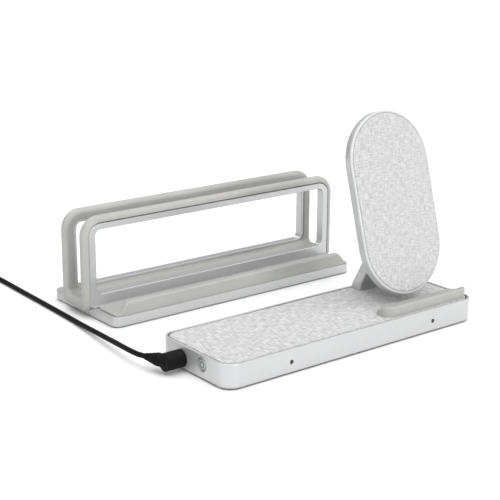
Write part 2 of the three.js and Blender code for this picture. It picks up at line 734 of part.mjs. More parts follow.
const adapterFace = adapter.y0 + adapter.length;
const adapterBody = roundedRect(
  adapter.x - adapter.width / 2,
  adapter.y0,
  adapter.x + adapter.width / 2,
  adapterFace,
  4,
);
add(leadGroup, "adapter_case", bevelledSlab(adapterBody, 0, adapter.height, 1.2), blackPlastic);
[-6.35, 6.35].forEach((dx, i) => {
  const x = adapter.x + dx;
  const prong = box(x - 0.75, x + 0.75, adapter.y0 - GAP - 16, adapter.y0 - GAP, 19, 25.3);
  add(leadGroup, `adapter_prong_${i + 1}`, prong, steel);
});

// ---------------------------------------------------------------------------------------------------
// The whole: the groups are moved so that the origin is the middle of the two units' footprint
// ---------------------------------------------------------------------------------------------------
const left = Math.min(-bezelProud, holder.x - liner.overhang);
const right = Math.max(base.length, holder.x + holder.length + liner.overhang);
const station = new THREE.Group();
const units = new THREE.Group();
units.position.set(-(left + right) / 2, -(holder.y + holder.depth) / 2, 0);
units.add(baseGroup, holderGroup, leadGroup);
station.add(units);

export default station;
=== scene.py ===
"""Desk dock: a charging base with a phone stand, an upright laptop and tablet holder, and its power lead.

Shapes are drawn in millimetres, in the frame of the unit that they belong to, and placed by the CAD boxes.
"""

import json
import math

import bmesh
import bpy
from mathutils import Matrix, Vector


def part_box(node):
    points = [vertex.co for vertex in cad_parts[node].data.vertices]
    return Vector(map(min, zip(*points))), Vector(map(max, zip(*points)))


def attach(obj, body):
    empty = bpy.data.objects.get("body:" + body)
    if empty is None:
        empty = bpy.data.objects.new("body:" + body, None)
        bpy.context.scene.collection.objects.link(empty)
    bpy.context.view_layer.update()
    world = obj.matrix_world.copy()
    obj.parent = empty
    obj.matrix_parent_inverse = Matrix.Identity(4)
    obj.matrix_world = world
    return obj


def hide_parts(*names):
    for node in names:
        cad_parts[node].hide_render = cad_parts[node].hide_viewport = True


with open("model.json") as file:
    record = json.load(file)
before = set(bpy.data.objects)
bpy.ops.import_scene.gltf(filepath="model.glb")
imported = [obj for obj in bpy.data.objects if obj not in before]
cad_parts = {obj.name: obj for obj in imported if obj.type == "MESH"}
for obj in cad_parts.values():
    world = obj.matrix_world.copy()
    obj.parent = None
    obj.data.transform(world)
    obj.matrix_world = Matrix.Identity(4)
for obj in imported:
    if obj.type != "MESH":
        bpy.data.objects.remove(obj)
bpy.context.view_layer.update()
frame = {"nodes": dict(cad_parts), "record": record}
MM = 0.001

# ----------------------------------------------------------
# Places of the units, from the CAD boxes
# ----------------------------------------------------------
GAP = 0.3  # clearance between touching pieces
AXIS = 0.001  # radius of the first and last rings of a turned body


def corner_of(node):
    """The low corner of a node's box, in millimetres."""
    return Vector(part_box(node)[0]) / MM


def middle_of(node):
    low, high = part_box(node)
    return (Vector(low) + Vector(high)) / (2 * MM)


BASE = Matrix.Translation((corner_of("base_shell").x, corner_of("base_shell").y, 0))
HOLDER = Matrix.Translation((corner_of("holder_base_plate").x, corner_of("holder_base_plate").y, 0))

PADDLE_TILT = math.radians(15.9)
FACE_PLATE_THICK = 1.9
paddle_turn = Matrix.Rotation(math.pi / 2 - PADDLE_TILT, 4, "X")
paddle_normal = (paddle_turn @ Vector((0, 0, 1, 0))).to_3d()
paddle_middle = middle_of("stand_face_plate") + paddle_normal * FACE_PLATE_THICK / 2
PADDLE = Matrix.Translation(paddle_middle) @ paddle_turn


# ----------------------------------------------------------
# Camera, floor and light
# ----------------------------------------------------------
def look_from(place, forward, up):
    back = -Vector(forward).normalized()
    right = Vector(up).cross(back).normalized()
    turn = Matrix((right, back.cross(right), back)).transposed()
    return Matrix.Translation(place) @ turn.to_4x4()


def make_camera():
    data = bpy.data.cameras.new("camera")
    data.lens = 88.53
    data.sensor_width = 36
    data.clip_start = 0.02
    camera = bpy.data.objects.new("camera", data)
    camera.matrix_world = look_from(
        (-0.62948, -0.78280, 0.34728), (0.5932, 0.7541, -0.2819), (0.1699, 0.2250, 0.9594)
    )
    bpy.context.collection.objects.link(camera)
    bpy.context.scene.camera = camera


def make_light(name, direction, strength, spread):
    """A broad, far light: it comes from the given direction and is spread degrees wide."""
    data = bpy.data.lights.new(name, "SUN")
    data.energy = strength
    data.angle = math.radians(spread)
    light = bpy.data.objects.new(name, data)
    light.rotation_euler = (-Vector(direction)).to_track_quat("-Z", "Y").to_euler()
    bpy.context.collection.objects.link(light)


def make_studio():
    """A room that is brighter above and in front, five broad lights, and a pale floor."""
    world = bpy.data.worlds.new("studio")
    bpy.context.scene.world = world
    world.use_nodes = True
    tree = world.node_tree
    background = tree.nodes["Background"]
    background.inputs["Color"].default_value = (1, 1, 1, 1)
    way = tree.nodes.new("ShaderNodeTexCoord")
    facing = tree.nodes.new("ShaderNodeVectorMath")
    facing.operation = "DOT_PRODUCT"
    facing.inputs[1].default_value = Vector((-0.1, -0.45, 0.85)).normalized()
    glow = tree.nodes.new("ShaderNodeMapRange")
    glow.inputs["From Min"].default_value = -0.7
    glow.inputs["From Max"].default_value = 0.9
    glow.inputs["To Min"].default_value = 0.14
    glow.inputs["To Max"].default_value = 0.72
    tree.links.new(way.outputs["Generated"], facing.inputs[0])
    tree.links.new(facing.outputs["Value"], glow.inputs["Value"])
    tree.links.new(glow.outputs["Result"], background.inputs["Strength"])

    make_light("key", (-0.2, -0.6, 1.3), 1.4, 60)
    make_light("back_light", (0.1, 0.7, 1.2), 1.1, 50)
    make_light("front_light", (0.03, -1, 0.15), 1.0, 16)
    make_light("left_light", (-1, -0.14, 0.15), 0.65, 16)
    make_light("edge_light", (0.6, -0.25, 0.76), 0.5, 20)

    half = 60  # metres from the middle of the floor to its edges
    mesh = bpy.data.meshes.new("floor")
    corners = [(-half, -half, 0), (half, -half, 0), (half, half, 0), (-half, half, 0)]
    mesh.from_pydata(corners, [], [(0, 1, 2, 3)])
    floor = bpy.data.objects.new("floor", mesh)
    bpy.context.collection.objects.link(floor)
    paper = bpy.data.materials.new("floor_paper")
    paper.use_nodes = True
    shader = paper.node_tree.nodes["Principled BSDF"]
    shader.inputs["Base Color"].default_value = (0.84, 0.84, 0.84, 1)
    shader.inputs["Roughness"].default_value = 0.9
    shader.inputs["Specular IOR Level"].default_value = 0.1
    mesh.materials.append(paper)

    view = bpy.context.scene.view_settings
    view.view_transform = "Standard"
    view.look = "None"
    view.exposure = 0
    view.gamma = 1


make_camera()
make_studio()


# ----------------------------------------------------------
# Materials
# ----------------------------------------------------------
class Look:
    """A node material, with its Principled shader and short ways to add and link nodes."""

    def __init__(self, name, colour, roughness, metallic=0.0, specular=0.5):
        self.material = bpy.data.materials.new(name)
        self.material.use_nodes = True
        self.tree = self.material.node_tree
        self.shader = self.tree.nodes["Principled BSDF"]
        self.set(self.shader, "Base Color", (*colour, 1))
        self.set(self.shader, "Roughness", roughness)
        self.set(self.shader, "Metallic", metallic)
        self.set(self.shader, "Specular IOR Level", specular)

    def set(self, node, socket, value):
        if isinstance(value, bpy.types.NodeSocket):
            self.tree.links.new(value, node.inputs[socket])
        else:
            node.inputs[socket].default_value = value

    def add(self, kind, output, settings=None, **inputs):
        node = self.tree.nodes.new(kind)
        for key, value in (settings or {}).items():
            setattr(node, key, value)
        for key, value in inputs.items():
            self.set(node, key.replace("_", " "), value)
        return node.outputs[output]

    def maths(self, operation, a, b=0.0, c=0.0):
        node = self.tree.nodes.new("ShaderNodeMath")
        node.operation = operation
        for i, value in enumerate((a, b, c)):
            self.set(node, i, value)
        return node.outputs[0]

    def place(self, kind="Object"):
        return self.add("ShaderNodeTexCoord", kind)

    def stretched(self, vector, scale):
        return self.add("ShaderNodeMapping", "Vector", Vector=vector, Scale=scale)

    def noise(self, vector, scale, detail=2.0, roughness=0.5):
        return self.add(
            "ShaderNodeTexNoise", "Fac", Vector=vector, Scale=scale, Detail=detail, Roughness=roughness
        )

    def ramp(self, value, low, high, colour_low, colour_high):
        node = self.tree.nodes.new("ShaderNodeValToRGB")
        self.set(node, "Fac", value)
        node.color_ramp.elements[0].position = low
        node.color_ramp.elements[1].position = high
        node.color_ramp.elements[0].color = (*colour_low, 1)
        node.color_ramp.elements[1].color = (*colour_high, 1)
        return node.outputs["Color"]

    def range(self, value, low, high, to_low, to_high):
        node = self.tree.nodes.new("ShaderNodeMapRange")
        for socket, x in (
            ("Value", value), ("From Min", low), ("From Max", high), ("To Min", to_low), ("To Max", to_high)
        ):
            self.set(node, socket, x)
        return node.outputs["Result"]

    def bump(self, height, distance, strength=1.0):
        normal = self.add("ShaderNodeBump", "Normal", Height=height, Distance=distance, Strength=strength)
        self.set(self.shader, "Normal", normal)


def satin_aluminium():
    """Bead-blasted and anodised: a fine grain, and slow changes of gloss."""
    colour = (0.55, 0.553, 0.558)
    look = Look("satin_aluminium", colour, 0.33, metallic=0.6)
    place = look.place()
    grain = look.noise(place, 2600, 3)
    drift = look.noise(place, 28, 2)
    look.set(look.shader, "Roughness", look.range(drift, 0.3, 0.7, 0.31, 0.35))
    dim = tuple(0.97 * c for c in colour)
    look.set(look.shader, "Base Color", look.ramp(look.noise(place, 900, 3), 0.35, 0.65, dim, colour))
    look.bump(grain, 0.00003, 0.5)
    return look.material


def heather_fabric(name, slub, dark, light):
    """A plain weave of grey yarns with thick places, slub mm across. The cloth's UVs are millimetres."""
    look = Look(name, (0.5, 0.5, 0.5), 0.95, specular=0.15)
    look.set(look.shader, "Sheen Weight", 0.25)
    look.set(look.shader, "Sheen Roughness", 0.5)
    place = look.place("UV")
    parts = look.tree.nodes.new("ShaderNodeSeparateXYZ")
    wander = look.add("ShaderNodeTexNoise", "Color", Vector=place, Scale=0.35, Detail=2.0)
    bend = look.add("ShaderNodeVectorMath", "Vector", {"operation": "MULTIPLY_ADD"}).node
    look.tree.links.new(wander, bend.inputs[0])
    bend.inputs[1].default_value = (0.5, 0.5, 0.0)
    look.tree.links.new(place, bend.inputs[2])
    look.tree.links.new(bend.outputs[0], parts.inputs[0])
    yarn = 0.62  # millimetres from thread to thread
    across = look.maths("SINE", look.maths("MULTIPLY", parts.outputs["X"], math.pi / yarn))
    along = look.maths("SINE", look.maths("MULTIPLY", parts.outputs["Y"], math.pi / yarn))
    over = look.maths("MULTIPLY", across, along)
    # Yarns of uneven shade: long flecks along each thread.
    fine, long = 1 / slub, 0.12 / slub
    warp_fleck = look.noise(look.stretched(place, (fine, long, 1)), 1.0, 0)
    weft_fleck = look.noise(look.stretched(place, (long, fine, 1)), 1.0, 0)
    pick = look.tree.nodes.new("ShaderNodeMix")
    look.set(pick, 0, look.range(over, -0.25, 0.25, 0.3, 0.7))
    look.set(pick, 2, weft_fleck)
    look.set(pick, 3, warp_fleck)
    look.set(look.shader, "Base Color", look.ramp(pick.outputs[0], 0.36, 0.64, dark, light))
    crown = look.maths("ABSOLUTE", over)
    fuzz = look.noise(place, 3.2, 4, 0.7)
    look.bump(look.maths("MULTIPLY_ADD", fuzz, 0.6, crown), 0.00018, 0.7)
    return look.material


def grey_silicone():
    """Matt moulded silicone: a fine spark-eroded texture, and a faint dusty change of shade."""
    look = Look("grey_silicone", (0.35, 0.348, 0.34), 0.5, specular=0.5)
    look.set(look.shader, "Sheen Weight", 0.12)
    look.set(look.shader, "Sheen Roughness", 0.6)
    place = look.place()
    drift = look.noise(place, 35, 3)
    shade = look.ramp(drift, 0.3, 0.7, (0.335, 0.333, 0.322), (0.365, 0.363, 0.352))
    look.set(look.shader, "Base Color", shade)
    look.set(look.shader, "Roughness", look.range(look.noise(place, 120, 2), 0.3, 0.7, 0.45, 0.56))
    look.bump(look.noise(place, 3000, 3), 0.00004, 0.5)
    return look.material


def moulded_plastic(name, colour, roughness, grain=1800, depth=0.00005, specular=0.5):
    look = Look(name, colour, roughness, specular=specular)
    place = look.place()
    dim = tuple(0.85 * c for c in colour)
    look.set(look.shader, "Base Color", look.ramp(look.noise(place, 60, 3), 0.3, 0.7, dim, colour))
    gloss = look.range(look.noise(place, 90, 2), 0.3, 0.7, roughness - 0.05, roughness + 0.05)
    look.set(look.shader, "Roughness", gloss)
    look.bump(look.noise(place, grain, 2), depth, 0.6)
    return look.material


def plated_steel():
    look = Look("plated_steel", (0.62, 0.62, 0.63), 0.3, metallic=1.0)
    place = look.place()
    scratches = look.noise(look.stretched(place, (1, 1, 8)), 400, 3)
    look.set(look.shader, "Roughness", look.range(scratches, 0.3, 0.7, 0.24, 0.4))
    look.bump(scratches, 0.00002, 0.4)
    return look.material


def copper_winding():
    """Enamelled wire: a bright metal with a fine, slightly uneven colour."""
    look = Look("copper_winding", (0.7, 0.34, 0.18), 0.3, metallic=1.0)
    place = look.place()
    fine = look.noise(place, 1500, 2)
    look.set(look.shader, "Base Color", look.ramp(fine, 0.3, 0.7, (0.6, 0.27, 0.13), (0.74, 0.38, 0.2)))
    look.bump(fine, 0.0001, 0.5)
    return look.material


def circuit_board():
    look = Look("circuit_board", (0.03, 0.14, 0.07), 0.4)
    place = look.place()
    tracks = look.add(
        "ShaderNodeTexBrick",
        "Fac",
        Vector=place,
        Scale=160.0,
        Mortar_Size=0.02,
        Brick_Width=0.8,
        Row_Height=0.3,
    )
    look.set(look.shader, "Base Color", look.ramp(tracks, 0.4, 0.6, (0.03, 0.14, 0.07), (0.05, 0.22, 0.1)))
    look.bump(tracks, 0.00003, 0.4)
    return look.material


FACE_FABRIC = heather_fabric("fine_heather_fabric", 0.75, (0.40, 0.40, 0.403), (0.565, 0.565, 0.57))
INK = moulded_plastic("mark_ink", (0.05, 0.05, 0.053), 0.6)
BLACK_RUBBER = moulded_plastic("black_rubber", (0.005, 0.005, 0.0053), 0.55, 2200, 0.00004, specular=0.1)
FINISHES = {
    "aluminium": satin_aluminium(),
    "heather_fabric": heather_fabric("heather_fabric", 0.8, (0.35, 0.35, 0.354), (0.63, 0.63, 0.635)),
    "grey_silicone": grey_silicone(),
    "light_plastic": moulded_plastic("light_plastic", (0.55, 0.553, 0.558), 0.42),
    "dark_plastic": moulded_plastic("dark_plastic", (0.035, 0.035, 0.038), 0.5),
    "black_plastic": moulded_plastic("black_plastic", (0.012, 0.012, 0.013), 0.45, 1400, 0.00008),
    "black_rubber": BLACK_RUBBER,
    "steel": plated_steel(),
    "copper": copper_winding(),
    "ferrite": moulded_plastic("ferrite", (0.06, 0.06, 0.065), 0.7),
    "circuit_board": circuit_board(),
}


# ----------------------------------------------------------
# Mesh work
# ----------------------------------------------------------
def arc(cx, cy, r, from_deg, to_deg, steps):
    angles = (math.radians(from_deg + (to_deg - from_deg) * i / steps) for i in range(steps + 1))
    return [(cx + r * math.cos(a), cy + r * math.sin(a)) for a in angles]


def rect_loop(x0, y0, x1, y1, radii, steps=12):
    """A rectangle with rounded corners; radii are lower right, upper right, upper left and lower left."""
    r = radii if isinstance(radii, tuple) else (radii,) * 4
    return [
        *arc(x1 - r[0], y0 + r[0], r[0], -90, 0, steps),
        *arc(x1 - r[1], y1 - r[1], r[1], 0, 90, steps),
        *arc(x0 + r[2], y1 - r[2], r[2], 90, 180, steps),
        *arc(x0 + r[3], y0 + r[3], r[3], 180, 270, steps),
    ]


def stadium_loop(width, length, steps):
    r = width / 2
    half = length / 2 - r
    return [*arc(0, half, r, 0, 180, steps), *arc(0, -half, r, 180, 360, steps)]


def round_loop(r, steps):
    return arc(0, 0, r, 0, 360, steps)[:-1]


def rounded_edge(z0, z1, low, high, steps=6):
    """Insets and heights up a side whose bottom and top edges are rounded."""
    quarter = [math.pi / 2 * i / steps for i in range(steps + 1)]
    bottom = [(low * (1 - math.sin(a)), z0 + low * (1 - math.cos(a))) for a in quarter]
    top = [(high * (1 - math.cos(a)), z1 - high * (1 - math.sin(a))) for a in quarter]
    return bottom + top


def quarter_insets(r, steps):
    """Distances inwards of the points on a quarter round."""
    return [r * (1 - math.cos(math.pi / 2 * i / steps)) for i in range(steps + 1)]


def quarter_drop(r, inset):
    """How far a quarter round has fallen at a distance inwards from its edge."""
    return r - math.sqrt(max(r**2 - (r - min(inset, r)) ** 2, 0))


def level(loop, z):
    return [(x, y, z) for x, y in loop]


def loft(rings, wrap=False):
    """Faces from ring to ring. All rings have the same number of points."""
    count = len(rings[0])
    points = [p for ring in rings for p in ring]
    faces = []
    pairs = list(zip(range(len(rings)), range(1, len(rings))))
    if wrap:
        pairs.append((len(rings) - 1, 0))
    for a, b in pairs:
        for i in range(count):
            j = (i + 1) % count
            faces.append((a * count + i, a * count + j, b * count + j, b * count + i))
    if not wrap:
        faces.append(tuple(reversed(range(count))))
        faces.append(tuple(range((len(rings) - 1) * count, len(rings) * count)))
    return points, faces


def turned(profile, steps, wrap=False):
    """A body turned about Z. Its profile of radii and heights starts and ends near the axis, or wraps."""
    rings = [[(r * x, r * y, z) for x, y in round_loop(1, steps)] for r, z in profile]
    return loft(rings, wrap)


def mesh_of(name, shape):
    points, faces = shape
    mesh = bpy.data.meshes.new(name)
    mesh.from_pydata([Vector(p) * MM for p in points], [], faces)
    work = bmesh.new()
    work.from_mesh(mesh)
    bmesh.ops.remove_doubles(work, verts=work.verts, dist=1e-7)
    bmesh.ops.recalc_face_normals(work, faces=work.faces)
    work.to_mesh(mesh)
    work.free()
    return mesh


def scratch(shape, at):
    """A body that is joined to a piece or cut from it, and then removed."""
    body = bpy.data.objects.new("scratch", mesh_of("scratch", shape))
    body.data.transform(in_metres(at))
    bpy.context.collection.objects.link(body)
    return body


def in_metres(matrix):
    moved = matrix.copy()
    moved.translation = matrix.translation * MM
    return moved


def combine(piece, bodies, operation):
    for body in bodies:
        step = piece.modifiers.new("combine", "BOOLEAN")
        step.operation = operation
        step.solver = "EXACT"
        step.object = body
    bake_modifiers(piece)
    for body in bodies:
        mesh = body.data
        bpy.data.objects.remove(body)
        bpy.data.meshes.remove(mesh)


def bake_modifiers(piece):
    bpy.context.view_layer.update()
    graph = bpy.context.evaluated_depsgraph_get()
    mesh = bpy.data.meshes.new_from_object(piece.evaluated_get(graph))
    old = piece.data
    piece.modifiers.clear()
    piece.data = mesh
    mesh.name = piece.name
    bpy.data.meshes.remove(old)


def finish_mesh(piece, sharp=32):
    mesh = piece.data
    mesh.shade_smooth()
    mesh.set_sharp_from_angle(angle=math.radians(sharp))
    even = piece.modifiers.new("even_normals", "WEIGHTED_NORMAL")
    even.keep_sharp = True


def make(name, shape, body, slot, material=None, at=None, stands_for=(), cuts=(), adds=(), sharp=32):
    """A piece from points and faces in its unit's millimetres, placed, cut, shaded and hung on its body."""
    if at is None:
        at = HOLDER if body == "holder" else BASE
    piece = bpy.data.objects.new(name, mesh_of(name, shape))
    piece.data.transform(in_metres(at))
    bpy.context.collection.objects.link(piece)
    if adds:
        combine(piece, [scratch(s, at) for s in adds], "UNION")
    if cuts:
        combine(piece, [scratch(s, at) for s in cuts], "DIFFERENCE")
    piece.data.materials.clear()
    piece.data.materials.append(material or FINISHES[slot])
    finish_mesh(piece, sharp)
    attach(piece, body)
    if stands_for:
        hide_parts(*stands_for)
    return piece


def block(x0, x1, y0, y1, z0, z1):
    return loft([level(rect_loop(x0, y0, x1, y1, 0.001, 1), z) for z in (z0, z1)])


def moved(shape, matrix):
    points, faces = shape
    return [matrix @ Vector(p) for p in points], faces


def along_x(shape, x, y, z):
    """A shape drawn up Z, laid along X from a point."""
    return moved(shape, Matrix.Translation((x, y, z)) @ Matrix.Rotation(math.pi / 2, 4, "Y"))


def along_y(shape, x, y, z):
    """A shape drawn up Z, laid along Y from a point."""
    return moved(shape, Matrix.Translation((x, y, z)) @ Matrix.Rotation(-math.pi / 2, 4, "X"))


def rod(r, z0, z1, steps=32):
    return loft([level(round_loop(r, steps), z) for z in (z0, z1)])


def soft_rod(r, z0, z1, low, high):
    """A rod with rounded rims."""
    return loft([level(round_loop(r - inset, 40), z) for inset, z in rounded_edge(z0, z1, low, high, 4)])


def flat_uvs(piece, at):
    """UVs in millimetres along the piece's own plane."""
    back = in_metres(at).inverted()
    layer = piece.data.uv_layers.new(name="cloth")
    for loop in piece.data.loops:
        local = back @ piece.data.vertices[loop.vertex_index].co
        layer.data[loop.index].uv = (local.x / MM, local.y / MM)


# ----------------------------------------------------------
# Charging base
# ----------------------------------------------------------
BASE_LENGTH, BASE_DEPTH, BASE_TOP, BASE_CORNER, BASE_WALL, BASE_FOOT = 260, 86.5, 20.3, 12, 2, 1.2
FABRIC_EDGE = 3.1  # from the base's outside to the fabric
PORT_HEIGHT = 9.9
BUTTON = {"y": 31.2, "z": 12.4, "radius": 3.7, "ring": 5.2}
JACK_Y = 56.6
JACK_HOLE, LIGHT_HOLE, LENS = 3.7, 1.8, 1.6  # radii
LIGHT_X = (60, 210)
USB_A = {"x": 150, "width": 13.2, "height": 5.8, "depth": 14}
USB_C = {"x": 176, "width": 9, "height": 3.3, "depth": 7.6}
BOSSES = [(x, y) for x in (8.2, BASE_LENGTH - 8.2) for y in (8.2, BASE_DEPTH - 8.2)]
PADDLE_X = 209
LEG = {"width": 28, "front": 71.4, "thick": 9.6, "knee": 23.6, "bottom": 3.6, "lean": math.radians(29)}
LEG_SCREWS = [(PADDLE_X + dx, LEG["front"] + 5.5) for dx in (-9.6, 9.6)]
LEG_HOLE = (
    PADDLE_X - LEG["width"] / 2 - GAP,
    PADDLE_X + LEG["width"] / 2 + GAP,
    LEG["front"] - GAP,
    LEG["front"] + 11 + GAP,
)


def base_loop(inset):
    return rect_loop(inset, inset, BASE_LENGTH - inset, BASE_DEPTH - inset, BASE_CORNER - inset, 18)


def port_hole(port):
    w, h = port["width"] / 2 + GAP, port["height"] / 2 + GAP
    r = h - 0.02 if port is USB_C else 0.8
    loop = rect_loop(port["x"] - w, PORT_HEIGHT - h, port["x"] + w, PORT_HEIGHT + h, r, 8)
    return loft([[(x, y, z) for x, z in loop] for y in (BASE_DEPTH - 4, BASE_DEPTH + 1)])


def make_base_shell():
    rim = rounded_edge(BASE_FOOT, BASE_TOP, 1.5, 0.5, 6)
    inside = [(BASE_WALL - 0.25, BASE_TOP), (BASE_WALL, BASE_TOP - 0.25), (BASE_WALL, BASE_FOOT + 0.2)]
    inside.append((BASE_WALL - 0.2, BASE_FOOT))
    shape = loft([level(base_loop(inset), z) for inset, z in rim + inside], wrap=True)
    cuts = [
        along_x(rod(BUTTON["ring"] + GAP, -1, BASE_WALL + 2, 48), 0, BUTTON["y"], BUTTON["z"]),
        along_x(rod(JACK_HOLE, -1, BASE_WALL + 1, 40), 0, JACK_Y, PORT_HEIGHT),
        *(along_y(rod(LIGHT_HOLE, -1, BASE_WALL + 1, 28), x, 0, PORT_HEIGHT) for x in LIGHT_X),
        port_hole(USB_A),
        port_hole(USB_C),
    ]
    make("base_shell_body", shape, "charging_base", "aluminium", stands_for=["base_shell"], cuts=cuts)


def make_bottom_cover():
    inset = BASE_WALL + GAP
    z0 = BASE_FOOT + GAP
    thick, head_room, head_hole = 1.8, 1.2, 3
    shape = loft([level(base_loop(inset + d), z) for d, z in rounded_edge(z0, z0 + thick, 0.3, 0.1, 3)])
    places = BOSSES + LEG_SCREWS
    cuts = [moved(rod(head_hole, -1, z0 + head_room), Matrix.Translation((x, y, 0))) for x, y in places]
    make(
        "bottom_cover_panel", shape, "charging_base", "dark_plastic", stands_for=["bottom_cover"], cuts=cuts
    )
    for i, (x, y) in enumerate(places):
        node = f"cover_screw_{i + 1}" if i < 4 else f"leg_screw_{i - 3}"
        make_screw(node, BASE @ Matrix.Translation((x, y, z0)), 2.6, "charging_base")


def make_screw(node, at, radius, body, head=0.9):
    """A pan head with a cross recess, over the CAD screw's own head. Its face looks down."""
    profile = [(AXIS, 0), (radius * 0.7, 0), (radius * 0.93, 0.15), (radius, 0.4)]
    profile += [(radius, head), (AXIS, head)]
    arm, half = radius * 0.62, radius * 0.13
    cross = [block(-arm, arm, -half, half, -1, 0.55), block(-half, half, -arm, arm, -1, 0.55)]
    shank = rod(1.2, head - 0.1, head + 6, 24)
    shape = turned(profile, 32)
    make(f"{node}_part", shape, body, "steel", at=at, stands_for=[node], cuts=cross, adds=[shank])


def make_top_fabric():
    top = BASE_TOP - GAP
    edge = rounded_edge(top - 0.6, top, 0.05, 0.4, 5)
    shape = loft([level(base_loop(FABRIC_EDGE + d), z) for d, z in edge])
    x0, x1, y0, y1 = LEG_HOLE
    hole = block(x0, x1, y0, y1, top - 5, top + 5)
    piece = make(
        "top_fabric_skin", shape, "charging_base", "heather_fabric", stands_for=["top_fabric"], cuts=[hole]
    )
    flat_uvs(piece, BASE)


def ledge_height(inset, y):
    """Top of the phone ledge: a lip round the outline and a cove inside it, lower towards the back."""
    lip_top, floor, lip, cove = 28.2, 23.7, 2.2, 5.5
    fall_from, fall_over = 3, 12.4
    t = min(max((inset - lip) / cove, 0), 1)
    hollow = min(cove * (1 - math.sqrt(1 - (1 - t) ** 2)), lip_top - floor)
    back = min(max((y - fall_from) / fall_over, 0), 1)
    return floor + hollow * (1 - back * back * (3 - 2 * back))


def make_phone_ledge():
    x0, x1, y0, depth = 163.5, 257.4, 4.6, 18.4
    half = depth / 2
    edge = 0.9  # rounding of its upper edge
    insets = quarter_insets(edge, 6)
    insets += [edge + (half - edge - 0.05) * i / 30 for i in range(1, 31)]
    rings = [level(rect_loop(x0, y0, x1, y0 + depth, half - 0.01, 30), BASE_TOP - GAP)]
    for inset in insets:
        round_to = max(half - inset - 0.01, 0.02)
        loop = rect_loop(x0 + inset, y0 + inset, x1 - inset, y0 + depth - inset, round_to, 30)
        drop = quarter_drop(edge, inset)
        rings.append([(x, y, ledge_height(inset, y - y0) - drop) for x, y in loop])
    shape = loft(rings)
    make("phone_ledge_pad", shape, "charging_base", "grey_silicone", stands_for=["phone_ledge"], sharp=50)


def make_button():
    y, z, radius, ring = (BUTTON[k] for k in ("y", "z", "radius", "ring"))
    inner, outer = radius + 0.55, ring - 0.45
    bezel = [(inner, 0.05), (inner + 0.2, -0.2), (outer - 0.2, -0.2), (outer, 0.05)]
    bezel += [(outer, 1.6), (inner, 1.6)]
    shape = along_x(turned(bezel, 56, wrap=True), 0, y, z)
    make("button_bezel_ring", shape, "charging_base", "aluminium", stands_for=["button_bezel"])
    cap = [(AXIS, 0.3), (radius * 0.5, 0.26), (radius - 0.5, 0.16), (radius - 0.15, 0.2)]
    cap += [(radius, 0.45), (radius, 3), (AXIS, 3)]
    shape = along_x(turned(cap, 56), 0, y, z)
    make("power_button_cap", shape, "button", "aluminium", stands_for=["power_button"])
    make_power_mark(y, z)


def make_power_mark(y, z):
    """The generic power symbol: an open ring and a stroke, set in the button's face."""
    outer, inner, deep = 2.6, 1.95, (0.05, 0.5)
    start, end = 90 + 35, 450 - 35  # the ring's ends, in degrees
    loop = arc(0, 0, outer, start, end, 40) + arc(0, 0, inner, end, start, 40)
    half = (outer - inner) / 2
    stroke = rect_loop(-half, 0.6, half, 3.1, half - 0.01, 6)
    for name, outline in (("power_mark_ring", loop), ("power_mark_stroke", stroke)):
        shape = loft([[(x, -u + y, v + z) for u, v in outline] for x in deep])
        make(name, shape, "button", "dark_plastic", INK)


def make_status_lights():
    lens = [(AXIS, 0.3), (LENS / 2, 0.35), (LENS - 0.25, 0.5), (LENS, 0.7), (LENS, 9), (AXIS, 9)]
    for side, x in zip(("left", "right"), LIGHT_X):
        node = f"status_light_{side}"
        shape = along_y(turned(lens, 28), x, 0, PORT_HEIGHT)
        make(f"{node}_lens", shape, "charging_base", "dark_plastic", stands_for=[node])


def make_usb_port(node, port, corner, tongue, pins):
    """A drawn steel shell with rounded corners, its black tongue and the contacts on it."""
    x, w, h = (port[k] for k in ("x", "width", "height"))
    face, back, wall = BASE_DEPTH - 0.2, BASE_DEPTH - port["depth"], 0.4

    def ring(inset, y):
        half_w, half_h = w / 2 - inset, h / 2 - inset
        r = max(corner - inset, 0.05)
        loop = rect_loop(x - half_w, PORT_HEIGHT - half_h, x + half_w, PORT_HEIGHT + half_h, r, 8)
        return [(u, y, v) for u, v in loop]

    stations = [
        (0.12, face), (0, face - 0.12), (0, back), (wall, back), (wall, face - 0.1), (wall - 0.1, face)
    ]
    shell = loft([ring(inset, y) for inset, y in stations], wrap=True)
    make(f"{node}_shell", shell, "charging_base", "steel", stands_for=[node])
    floor = loft([ring(wall - 0.05, y) for y in (back + 0.05, back + 0.8)])
    half = w / 2 - 1.3
    low = PORT_HEIGHT - tongue / 2
    loop = rect_loop(x - half, low, x + half, low + tongue, min(tongue / 2 - 0.02, 0.3), 4)
    stem = loft([[(u, y, v) for u, v in loop] for y in (back + 0.5, face - 1.5)])
    make(f"{node}_tongue", stem, "charging_base", "black_plastic", adds=[floor])
    pitch = 2 * half / (pins + 1)
    middles = [x - half + pitch * (i + 1) for i in range(pins)]
    rows = [
        block(m - 0.3 * pitch, m + 0.3 * pitch, back + 1, face - 1.9, low - 0.04, low + 0.2)
        for m in middles
    ]
    make(f"{node}_contacts", rows[0], "charging_base", "copper", adds=rows[1:])


def make_feet(unit, body, at, xs, ys, shape):
    """One rubber pad at each crossing of xs and ys."""
    for i, (x, y) in enumerate((x, y) for x in xs for y in ys):
        node = f"{unit}_foot_{i + 1}"
        place = at @ Matrix.Translation((x, y, 0))
        make(f"{node}_pad", shape, body, "black_rubber", at=place, stands_for=[node])


# ----------------------------------------------------------
# Phone stand
# ----------------------------------------------------------
PADDLE_WIDTH, PADDLE_LENGTH, PADDLE_THICK = 86.2, 152.3, 8.1
FABRIC_INSET = 2.3


def paddle_rings(stations):
    return [
        level(stadium_loop(PADDLE_WIDTH - 2 * inset, PADDLE_LENGTH - 2 * inset, 56), z)
        for inset, z in stations
    ]


